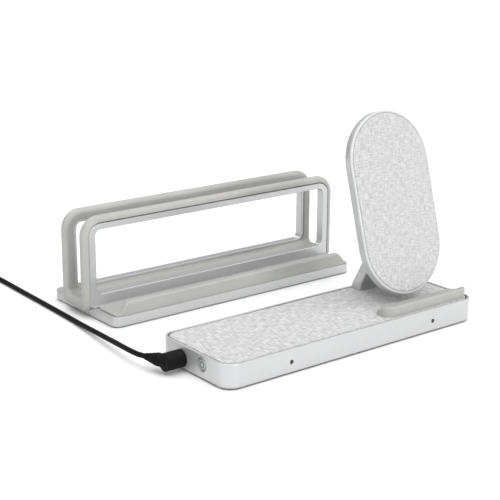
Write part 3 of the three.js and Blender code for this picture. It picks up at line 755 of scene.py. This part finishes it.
def make_paddle():
    back, front = -PADDLE_THICK, -FACE_PLATE_THICK - GAP
    outside = rounded_edge(back, front, 1.4, 0.2, 6)
    hollow = [(2, front), (2, back + 1.8)]
    tray = loft(paddle_rings(outside + hollow))
    make("stand_back_tray", tray, "charging_base", "aluminium", at=PADDLE, stands_for=["stand_back_shell"])
    plate = rounded_edge(-FACE_PLATE_THICK, 0, 0.15, 1.2, 6)
    groove = [(FABRIC_INSET - 0.45, 0), (FABRIC_INSET - 0.3, -0.15), (FABRIC_INSET - 0.3, -0.9)]
    rim = loft(paddle_rings(plate + groove))
    make(
        "stand_face_rim", rim, "charging_base", "light_plastic", at=PADDLE, stands_for=["stand_face_plate"]
    )
    cloth = [(FABRIC_INSET + d, z) for d, z in rounded_edge(-0.6, 0.35, 0.05, 0.6, 6)]
    skin = make(
        "stand_fabric_skin",
        loft(paddle_rings(cloth)),
        "charging_base",
        "heather_fabric",
        FACE_FABRIC,
        at=PADDLE,
        stands_for=["stand_fabric"],
    )
    flat_uvs(skin, PADDLE)


def bent(a, b, c, steps=8):
    """Points on the curve from a to c that leaves and arrives towards b."""
    return [
        tuple((1 - t) ** 2 * p + 2 * t * (1 - t) * q + t * t * r for p, q, r in zip(a, b, c))
        for t in (i / steps for i in range(steps + 1))
    ]


def make_stand_leg():
    """A bent strip: each station is the line from its front edge to its rear edge."""
    front, knee, lean = LEG["front"], LEG["knee"], LEG["lean"]
    deep = LEG["thick"] / math.cos(lean)
    base_paddle = BASE.inverted() @ PADDLE
    back_point = base_paddle @ Vector((0, 0, -PADDLE_THICK))
    slope = math.tan(PADDLE_TILT)

    def meet(y_at_knee):
        """Where a line up the leg meets the paddle's back, in Y and Z."""
        run = y_at_knee + knee * math.tan(lean) - back_point.y + back_point.z * slope
        z = run / (slope + math.tan(lean))
        return back_point.y + (z - back_point.z) * slope, z

    def edge(y, below, above):
        top = (y - above * math.tan(lean), knee + above)
        bend = bent((y, knee - below), (y, knee + above * 0.15), top, 10)
        return [(y, LEG["bottom"]), (y, knee - below - 1), *bend, meet(y)]

    pairs = zip(edge(front, 2.5, 3.0), edge(front + deep, 2.5, 5.0))
    half, r = LEG["width"] / 2, 1.5
    rings = []
    for (ya, za), (yb, zb) in pairs:
        thick = math.hypot(yb - ya, zb - za)
        loop = rect_loop(-half, 0, half, thick, r, 6)
        rings.append(
            [(PADDLE_X + u, ya + (yb - ya) * v / thick, za + (zb - za) * v / thick) for u, v in loop]
        )
    make("stand_leg_strip", loft(rings), "charging_base", "aluminium", stands_for=["stand_leg"], sharp=40)


# ----------------------------------------------------------
# Holder
# ----------------------------------------------------------
HOLDER_LENGTH, HOLDER_DEPTH, PLATE_TOP, PLATE_FOOT = 260, 101, 9.25, 1
BEAD_OUT, BEAD_THICK, CROWN, CROWN_CORNER, BEAD_ROUND = 6.9, 9.6, 87, 17, 4.1
SLOT, SLOT_FLOOR, LINER_BOTTOM, LINER_FRONT = 20.5, 15.4, 5.6, 34.8
SLOT_FRONT = LINER_FRONT + BEAD_THICK
REAR_WALL = SLOT_FRONT + SLOT
LAP_THICK, LAP_WIDTH, LAP_BOTTOM = 0.8, 3.3, 17.4  # the liner's lap over each frame, on the slot's side
FRAME_FRONTS = {"front": LINER_FRONT + GAP, "rear": REAR_WALL + LAP_THICK + GAP}
FRAME_INSET, FRAME_THICK, FRAME_BAND, FRAME_SILL, FRAME_TOP, FRAME_CORNER = -1.4, 8.2, 6.3, 19.6, 81, 11
FRAME_SCREWS = (40, HOLDER_LENGTH - 40)


def make_holder_plate():
    def loop(inset):
        return rect_loop(inset, inset, HOLDER_LENGTH - inset, HOLDER_DEPTH - inset, 7 - inset, 14)

    edge = rounded_edge(PLATE_FOOT, PLATE_TOP, 0.6, 0.6, 6)
    shape = loft([level(loop(inset), z) for inset, z in edge])
    places = [(x, y + FRAME_THICK / 2) for x in FRAME_SCREWS for y in FRAME_FRONTS.values()]
    cuts = [moved(rod(4.3, -1, PLATE_FOOT + 3), Matrix.Translation((x, y, 0))) for x, y in places]
    make("holder_plate", shape, "holder", "aluminium", stands_for=["holder_base_plate"], cuts=cuts)
    for side, y in FRAME_FRONTS.items():
        for i, x in enumerate(FRAME_SCREWS):
            at = HOLDER @ Matrix.Translation((x, y + FRAME_THICK / 2, PLATE_FOOT + 0.7))
            make_screw(f"{side}_frame_screw_{i + 1}", at, 3.8, "holder", 2)


def make_frame(name, node, y0, flange):
    """A window frame with rounded edges, and a foot flange along its front if asked for."""
    y1 = y0 + FRAME_THICK
    foot, soft = PLATE_TOP + GAP, 0.6

    def outer(inset, y):
        r = FRAME_CORNER - inset
        x0, x1 = FRAME_INSET + inset, HOLDER_LENGTH - FRAME_INSET - inset
        return [(x, y, z) for x, z in rect_loop(x0, foot, x1, FRAME_TOP - inset, (0.02, r, r, 0.02), 16)]

    def window(grow, y):
        x0 = FRAME_INSET + FRAME_BAND - grow
        z0, z1 = FRAME_SILL - grow, FRAME_TOP - FRAME_BAND + 1 + grow
        return [(x, y, z) for x, z in rect_loop(x0, z0, HOLDER_LENGTH - x0, z1, 5 + grow, 16)]

    side = rounded_edge(y0, y1, soft, soft, 5)
    rings = [outer(inset, y) for inset, y in side]
    rings += [window(grow, y0 + y1 - y) for grow, y in side]
    adds = []
    if flange:
        x0, x1 = FRAME_INSET + 1, HOLDER_LENGTH - FRAME_INSET - 1
        front, back = y0 - 3.6, y0 + 1.5
        stations = rounded_edge(foot, foot + 1.2, 0.02, 0.4, 4)
        loops = [level(rect_loop(x0 + d, front + d, x1 - d, back, 0.4, 4), z) for d, z in stations]
        adds.append(loft(loops))
    make(name, loft(rings, wrap=True), "holder", "aluminium", stands_for=[node], adds=adds)


def inset_points(points, distance):
    """A closed outline moved inwards; it runs anticlockwise."""
    moved_points = []
    for i, (x, y) in enumerate(points):
        xa, ya = points[i - 1]
        xb, yb = points[(i + 1) % len(points)]
        a = Vector((x - xa, y - ya)).normalized()
        b = Vector((xb - x, yb - y)).normalized()
        normal = Vector((-(a.y + b.y), a.x + b.x)).normalized()
        stretch = max(normal.dot(Vector((-a.y, a.x))), 0.5)
        moved_points.append((x + normal.x * distance / stretch, y + normal.y * distance / stretch))
    return moved_points


def bead(open_side, slot_side, bottom):
    """A rounded bead round a frame, from foot to foot over the top, lapped over it on the slot's side."""
    inner, soft = BEAD_OUT + FRAME_INSET - GAP, 0.3
    lap = BEAD_OUT + FRAME_INSET + LAP_WIDTH
    stations = rounded_edge(0, BEAD_THICK, BEAD_ROUND, BEAD_ROUND, 6)
    stations += [(lap - soft, BEAD_THICK), (lap, BEAD_THICK - soft), (lap, BEAD_THICK - LAP_THICK)]
    stations += [(inner, BEAD_THICK - LAP_THICK), (inner, soft), (inner - soft, 0)]
    way = 1 if slot_side > open_side else -1
    stations = [(inset, open_side + way * y) for inset, y in stations]

    def path(inset):
        x0, x1 = -BEAD_OUT + inset, HOLDER_LENGTH + BEAD_OUT - inset
        top, corner = CROWN - inset, CROWN_CORNER - inset
        return [
            (x0, bottom),
            (x0, bottom + 12),
            *arc(x0 + corner, top - corner, corner, 180, 90, 18),
            *arc(x1 - corner, top - corner, corner, 90, 0, 18),
            (x1, bottom + 12),
            (x1, bottom),
        ]

    lines = [[(x, y, z) for x, z in path(inset)] for inset, y in stations]
    return loft([list(ring) for ring in zip(*lines)])


def liner_channel():
    """The slot's floor and the U at each end, as an outline in Y and Z run along X."""
    rear = REAR_WALL + BEAD_THICK
    seam = SLOT_FLOOR + 5
    outline = [
        *arc(rear - 7, LINER_BOTTOM + 7, 7, -90, 0, 10),
        (rear, seam + 3),
        (REAR_WALL, seam + 3),
        *arc(REAR_WALL - 4, SLOT_FLOOR + 4, 4, 0, -90, 8),
        *arc(SLOT_FRONT + 4, SLOT_FLOOR + 4, 4, -90, -180, 8),
        (SLOT_FRONT, seam + 3),
        (LINER_FRONT, seam + 3),
        *arc(LINER_FRONT + 7, LINER_BOTTOM + 7, 7, 180, 270, 10),
    ]
    x0, x1 = -BEAD_OUT, HOLDER_LENGTH + BEAD_OUT
    stations = rounded_edge(x0, x1, BEAD_ROUND, BEAD_ROUND, 6)
    return loft([[(x, y, z) for y, z in inset_points(outline, inset)] for inset, x in stations])


def frame_bay(y0, y1, inset, bottom):
    x0, x1 = FRAME_INSET + inset, HOLDER_LENGTH - FRAME_INSET - inset
    loop = rect_loop(x0, bottom, x1, FRAME_TOP - inset, FRAME_CORNER - inset, 16)
    return loft([[(x, y, z) for x, z in loop] for y in (y0, y1)])


def make_slot_liner():
    rear = REAR_WALL + BEAD_THICK
    seam = SLOT_FLOOR + 5
    cuts = [
        block(-GAP, HOLDER_LENGTH + GAP, 0, HOLDER_DEPTH, -1, PLATE_TOP + GAP),
        frame_bay(LINER_FRONT - 1, SLOT_FRONT - LAP_THICK, -GAP, -20),
        frame_bay(SLOT_FRONT - 2, SLOT_FRONT + 1, LAP_WIDTH, LAP_BOTTOM),
        frame_bay(REAR_WALL + LAP_THICK, rear + 1, -GAP, -20),
        frame_bay(REAR_WALL - 1, REAR_WALL + 2, LAP_WIDTH, LAP_BOTTOM),
    ]
    channel = make("slot_liner_sleeve", liner_channel(), "holder", "grey_silicone", cuts=cuts, sharp=45)
    channel.modifiers.clear()
    sides = ((LINER_FRONT, SLOT_FRONT), (rear, REAR_WALL))
    combine(channel, [scratch(bead(*ends, seam), HOLDER) for ends in sides], "UNION")
    finish_mesh(channel, 45)
    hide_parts("slot_liner")


def make_tablet_tray():
    """A flat floor with a rounded lip along the front that slopes away at both ends."""
    x0, x1, y0, y1 = 2.5, 257.5, 0.6, 31.4
    width = y1 - y0
    bottom, floor, lip_top, lip = PLATE_TOP + GAP, 10.8, 20.8, 5
    rise, corner = 14, 4  # length of the slope at each end, and the corners' radius
    edge, cove, soft = 1.7, 4.6, 0.25  # the lip's front edge, its fall to the floor, and the rear edge

    def height(y):
        t = min(max((y - lip) / cove, 0), 1)
        return floor + (lip_top - floor) * (1 - t) ** 2.2

    def crest(x):
        """How much of the lip's height is left near the ends, from 0 to 1."""
        t = min(max((min(x - x0, x1 - x)) / rise, 0), 1)
        return t * t * t * (t * (6 * t - 15) + 10)

    # Stations across: the front edge, the lip's top, its fall, the floor and the rear edge.
    ys = quarter_insets(edge, 6)
    ys += [edge + (lip - 0.4 - edge) * i / 4 for i in range(1, 5)]
    ys += [lip - 0.2 + 5.2 * i / 14 for i in range(15)]
    ys += [lip + 5 + (width - lip - 5.6) * i / 6 for i in range(1, 7)]
    ys += [width - soft, width]
    # Stations along: close together in the corners and in the slopes at both ends.
    ends = quarter_insets(corner, 8)
    ends += [corner + (rise - corner) * i / 14 for i in range(1, 15)]
    xs = [x0 + d for d in ends]
    xs += [x0 + rise + 20 * i for i in range(1, 12)]
    xs += [x1 - d for d in reversed(ends)]
    rings = []
    for x in xs:
        pull = quarter_drop(corner, min(x - x0, x1 - x))
        top = []
        for y in ys:
            drop = quarter_drop(edge, y)
            fall = max(0, y - (width - soft))
            z = floor + (height(y) - drop - floor) * crest(x) if y < lip + 5 else floor - fall
            top.append((x, y0 + pull + y * (width - 2 * pull) / width, max(z, floor - soft)))
        low = [(x, y1 - pull, bottom), (x, y0 + pull, bottom)]
        rings.append(top + low)
    make("tablet_tray_pad", loft(rings), "holder", "grey_silicone", stands_for=["tablet_tray"], sharp=50)


# ----------------------------------------------------------
# Power lead: plug, cable with its coiled spare length, tie and adapter. Its frame is the base's.
# ----------------------------------------------------------
CABLE = 4.2
PLUG_RADIUS, PLUG_LENGTH, ELBOW = 7.1, 16.6, 5.2
PLUG_END = -GAP - PLUG_LENGTH
RELIEF_LEAN = math.radians(20)
RELIEF_FOOT = Vector((PLUG_END + 3.6, JACK_Y + 1, PORT_HEIGHT))
RELIEF_WAY = Vector((-math.sin(RELIEF_LEAN), math.cos(RELIEF_LEAN), 0))
RELIEF_FROM, RELIEF_LENGTH = 7.4, 12
CABLE_INSIDE = 1.5  # how far back in the strain relief the cable starts
COIL_X, COIL_Y = -31, 381
COIL_ROWS = (2.15, 6.45, 10.75)  # heights of the turns' layers
COIL_RADII = (18.9, 23.1, 27.3)

# The cable's way to the coil and from it, in metres in the shared frame: the same points as in the CAD.
LEAD_ROUTE = [
    (-0.158975, -0.0485, 0.0099),
    (-0.159475, -0.0395, 0.0098),
    (-0.158675, -0.0275, 0.0092),
    (-0.156975, -0.0135, 0.0081),
    (-0.155175, 0.0015, 0.0068),
    (-0.153175, 0.0165, 0.0055),
    (-0.151375, 0.0325, 0.0042),
    (-0.149775, 0.0485, 0.0031),
    (-0.148475, 0.0635, 0.0024),
    (-0.147775, 0.0785, 0.00215),
    (-0.147275, 0.0985, 0.00215),
    (-0.146775, 0.1205, 0.00215),
    (-0.146275, 0.1435, 0.00215),
    (-0.145775, 0.1685, 0.00215),
    (-0.145175, 0.1935, 0.00215),
    (-0.144975, 0.2135, 0.00215),
    (-0.144975, 0.2268, 0.00215),
]
TAIL_ROUTE = [
    (-0.179975, 0.2794, 0.00215),
    (-0.193975, 0.2794, 0.00215),
    (-0.208975, 0.2755, 0.00215),
    (-0.220975, 0.2645, 0.0029),
    (-0.227475, 0.2505, 0.0056),
    (-0.228975, 0.2375, 0.009),
    (-0.228975, 0.2278, 0.01),
]


def coil_points():
    """Turns from the middle of the bottom layer inwards, up through the layers and out to the foot."""
    low, mid, high = COIL_ROWS
    inner, middle, outer = COIL_RADII
    slots = [(middle, low), (inner, low), (inner, mid), (inner, high)]
    slots += [(middle, high), (middle, mid), (outer, mid), (outer, low)]
    step = 0.1  # of a turn, in which the cable moves over to its next place
    starts, at = [], 1 - step
    for k in range(len(slots) - 1):
        starts.append(at)
        if k + 2 < len(slots):
            (ra, za), (rb, zb), (rc, zc) = slots[k : k + 3]
            turns_off = abs((rb - ra) * (rc - rb) + (zb - za) * (zc - zb)) < 1
            at += 1 - step if turns_off else 1
    points = []
    turns, per_turn = 7.25, 20
    for i in range(1, int(turns * per_turn)):
        turn = i / per_turn
        r, z = slots[0]
        for k, start in enumerate(starts):
            t = min(max((turn - start) / step, 0), 1)
            t = t * t * (3 - 2 * t)
            r += (slots[k + 1][0] - slots[k][0]) * t
            z += (slots[k + 1][1] - slots[k][1]) * t
        angle = 2 * math.pi * turn
        place = Vector((COIL_X + r * math.cos(angle), COIL_Y + r * math.sin(angle), z))
        points.append(BASE @ place * MM)
    return points


def level_where_turning(before, point, after):
    """The curve's direction at a point, level along each axis on which the point is an extreme."""
    way = after - before
    for axis in range(3):
        if (point[axis] - before[axis]) * (after[axis] - point[axis]) <= 0 and point not in (before, after):
            way[axis] = 0
    return way.normalized()


def make_lead():
    """The whole cable as one curve, and the place where it leaves the strain relief."""
    start = (BASE @ (RELIEF_FOOT + RELIEF_WAY * (RELIEF_FROM + RELIEF_LENGTH - CABLE_INSIDE))) * MM
    points = [start, *LEAD_ROUTE, *coil_points(), *TAIL_ROUTE]
    data = bpy.data.curves.new("lead", "CURVE")
    data.dimensions = "3D"
    data.bevel_depth = CABLE / 2 * MM
    data.bevel_resolution = 5
    data.resolution_u = 6
    data.use_fill_caps = True
    spline = data.splines.new("BEZIER")
    spline.bezier_points.add(len(points) - 1)
    for i, knot in enumerate(spline.bezier_points):
        near = (min(max(k, 0), len(points) - 1) for k in (i - 1, i, i + 1))
        before, point, after = (Vector(points[k]) for k in near)
        way = level_where_turning(before, point, after)
        knot.handle_left_type = knot.handle_right_type = "FREE"
        knot.co = point
        knot.handle_left = point - way * (point - before).length / 3
        knot.handle_right = point + way * (after - point).length / 3
    lead = bpy.data.objects.new("lead", data)
    bpy.context.collection.objects.link(lead)
    data.materials.append(BLACK_RUBBER)
    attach(lead, "power_lead")
    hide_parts("lead_run", "lead_coil", "lead_tail")
    return lead, start


def make_plug():
    side = rounded_edge(0, PLUG_LENGTH, 1.0, 0.6, 6)
    barrel = loft([level(round_loop(PLUG_RADIUS - inset, 56), z) for inset, z in side])
    bend = [(3.6, -4.2), (1.6, -3.4), (0.5, -2), (0, 0), *rounded_edge(5, RELIEF_FROM - GAP, 0, 0.4, 4)]
    elbow = loft([level(round_loop(ELBOW - inset, 48), z) for inset, z in bend])
    upright = Matrix.Rotation(-math.pi / 2, 4, "X")
    turn = Matrix.Translation(RELIEF_FOOT) @ Matrix.Rotation(RELIEF_LEAN, 4, "Z") @ upright
    hole = along_x(rod(2.9, PLUG_LENGTH - 3, PLUG_LENGTH + 1, 32), PLUG_END, JACK_Y, PORT_HEIGHT)
    barrel = along_x(barrel, PLUG_END, JACK_Y, PORT_HEIGHT)
    elbow = moved(elbow, turn)
    make(
        "dc_plug_body",
        barrel,
        "power_lead",
        "black_rubber",
        stands_for=["dc_plug"],
        adds=[elbow],
        cuts=[hole],
    )
    tip = [(AXIS, -2.6), (2.6, -2.6), (2.6, 8.7), (2.3, 9), (1.5, 9), (1.3, 8.8), (1.3, 0.5), (AXIS, 0.5)]
    contact = along_x(turned(tip, 36), 0, JACK_Y, PORT_HEIGHT)
    make("plug_barrel_tip", contact, "power_lead", "steel", stands_for=["plug_barrel"])
    taper = [(AXIS, RELIEF_FROM), (ELBOW - 0.4, RELIEF_FROM), (ELBOW, RELIEF_FROM + 0.4)]
    ribs, pitch, narrowing = 4, 2.4, 0.62
    for i in range(ribs):
        z = RELIEF_FROM + 1.6 + i * pitch
        r = ELBOW - 0.2 - i * narrowing
        taper += [(r, z), (r - 0.35, z + 0.25), (r - 0.4, z + 0.6), (r - 0.15, z + 0.85)]
    end = RELIEF_FROM + RELIEF_LENGTH
    taper += [(2.75, end - 0.6), (2.5, end), (AXIS, end)]
    sleeve = moved(turned(taper, 40), turn)
    make(
        "strain_relief_sleeve", sleeve, "power_lead", "black_rubber", stands_for=["strain_relief"], sharp=50
    )


def make_coil_tie():
    """A strap round the coil's right side."""
    outer, inner, half = 29.4, 16.8, 4.5
    inner_x = math.sqrt(inner**2 - half**2)
    x0, x1 = COIL_X + inner_x - GAP, COIL_X + outer + GAP
    z0, z1 = 0.4, 13.5
    thick = 0.4

    def section(grow):
        return rect_loop(x0 - grow, z0 - grow, x1 + grow, z1 + grow, 2 + grow, 8)

    y0, y1 = COIL_Y - half, COIL_Y + half
    soft = 0.1
    stations = [(thick, y0 + soft), (thick, y1 - soft), (thick - soft, y1), (soft, y1)]
    stations += [(0, y1 - soft), (0, y0 + soft), (soft, y0), (thick - soft, y0)]
    rings = [[(x, y, z) for x, z in section(grow)] for grow, y in stations]
    return make(
        "coil_tie_strap", loft(rings, wrap=True), "power_lead", "black_rubber", stands_for=["coil_tie"]
    )


def make_adapter():
    x, y0, width, length, height = -92, 300, 30, 58, 44

    def loop(inset):
        half = width / 2 - inset
        return rect_loop(x - half, y0 + inset, x + half, y0 + length - inset, 4 - inset, 12)

    seam, seam_top = 22, 22.5  # the groove where the case's halves meet
    low_half = rounded_edge(0, seam, 1.6, 0.3, 6)
    high_half = rounded_edge(seam_top, height, 0.3, 1.6, 6)
    groove = [(0.5, seam), (0.5, seam_top)]
    shape = loft([level(loop(inset), z) for inset, z in low_half + groove + high_half])
    seat = along_y(rod(CABLE / 2 + 0.25, -4, 1, 32), x, y0 + length, 10)  # where the cable goes in
    make(
        "adapter_case_body", shape, "power_lead", "black_plastic", stands_for=["adapter_case"], cuts=[seat]
    )
    for i, dx in enumerate((-6.35, 6.35)):
        tip, root = y0 - GAP - 16, y0 + 1
        blade = [(tip, 23.9), (tip + 1.6, 25.3), (root, 25.3), (root, 19), (tip + 1.6, 19), (tip, 20.4)]
        stations = rounded_edge(x + dx - 0.75, x + dx + 0.75, 0.2, 0.2, 3)
        prong = loft([[(u, y, z) for y, z in inset_points(blade, inset)] for inset, u in stations])
        hole = along_x(rod(1.5, -2, 2, 24), x + dx, tip + 4, 22.15)
        node = f"adapter_prong_{i + 1}"
        make(f"{node}_blade", prong, "power_lead", "steel", stands_for=[node], cuts=[hole])


# ----------------------------------------------------------
# Everything
# ----------------------------------------------------------
lead, lead_exit = make_lead()
make_plug()
tie = make_coil_tie()
make_adapter()

make_base_shell()
make_bottom_cover()
make_top_fabric()
make_phone_ledge()
make_button()
make_status_lights()
make_usb_port("usb_a_port", USB_A, 0.6, 1.8, 4)
make_usb_port("usb_c_port", USB_C, 1.6, 0.8, 6)
base_pad = soft_rod(6, 0, BASE_FOOT + 0.25, 0.4, 0.05)
make_feet("base", "charging_base", BASE, (28, BASE_LENGTH - 28), (12, BASE_DEPTH - 12), base_pad)
make_paddle()
make_stand_leg()
make_holder_plate()
holder_pad = soft_rod(8, 0, PLATE_FOOT, 0.35, 0.05)
make_feet("holder", "holder", HOLDER, (14, HOLDER_LENGTH - 14), (14, HOLDER_DEPTH - 14), holder_pad)
make_frame("front_window_frame", "front_frame", FRAME_FRONTS["front"], True)
make_frame("rear_window_frame", "rear_frame", FRAME_FRONTS["rear"], False)
make_slot_liner()
make_tablet_tray()

slot_of = {part["node"]: part["material_slot"] for part in frame["record"]["subparts"]}
for name, node in frame["nodes"].items():
    node.data.materials.clear()
    node.data.materials.append(FINISHES[slot_of[name]])
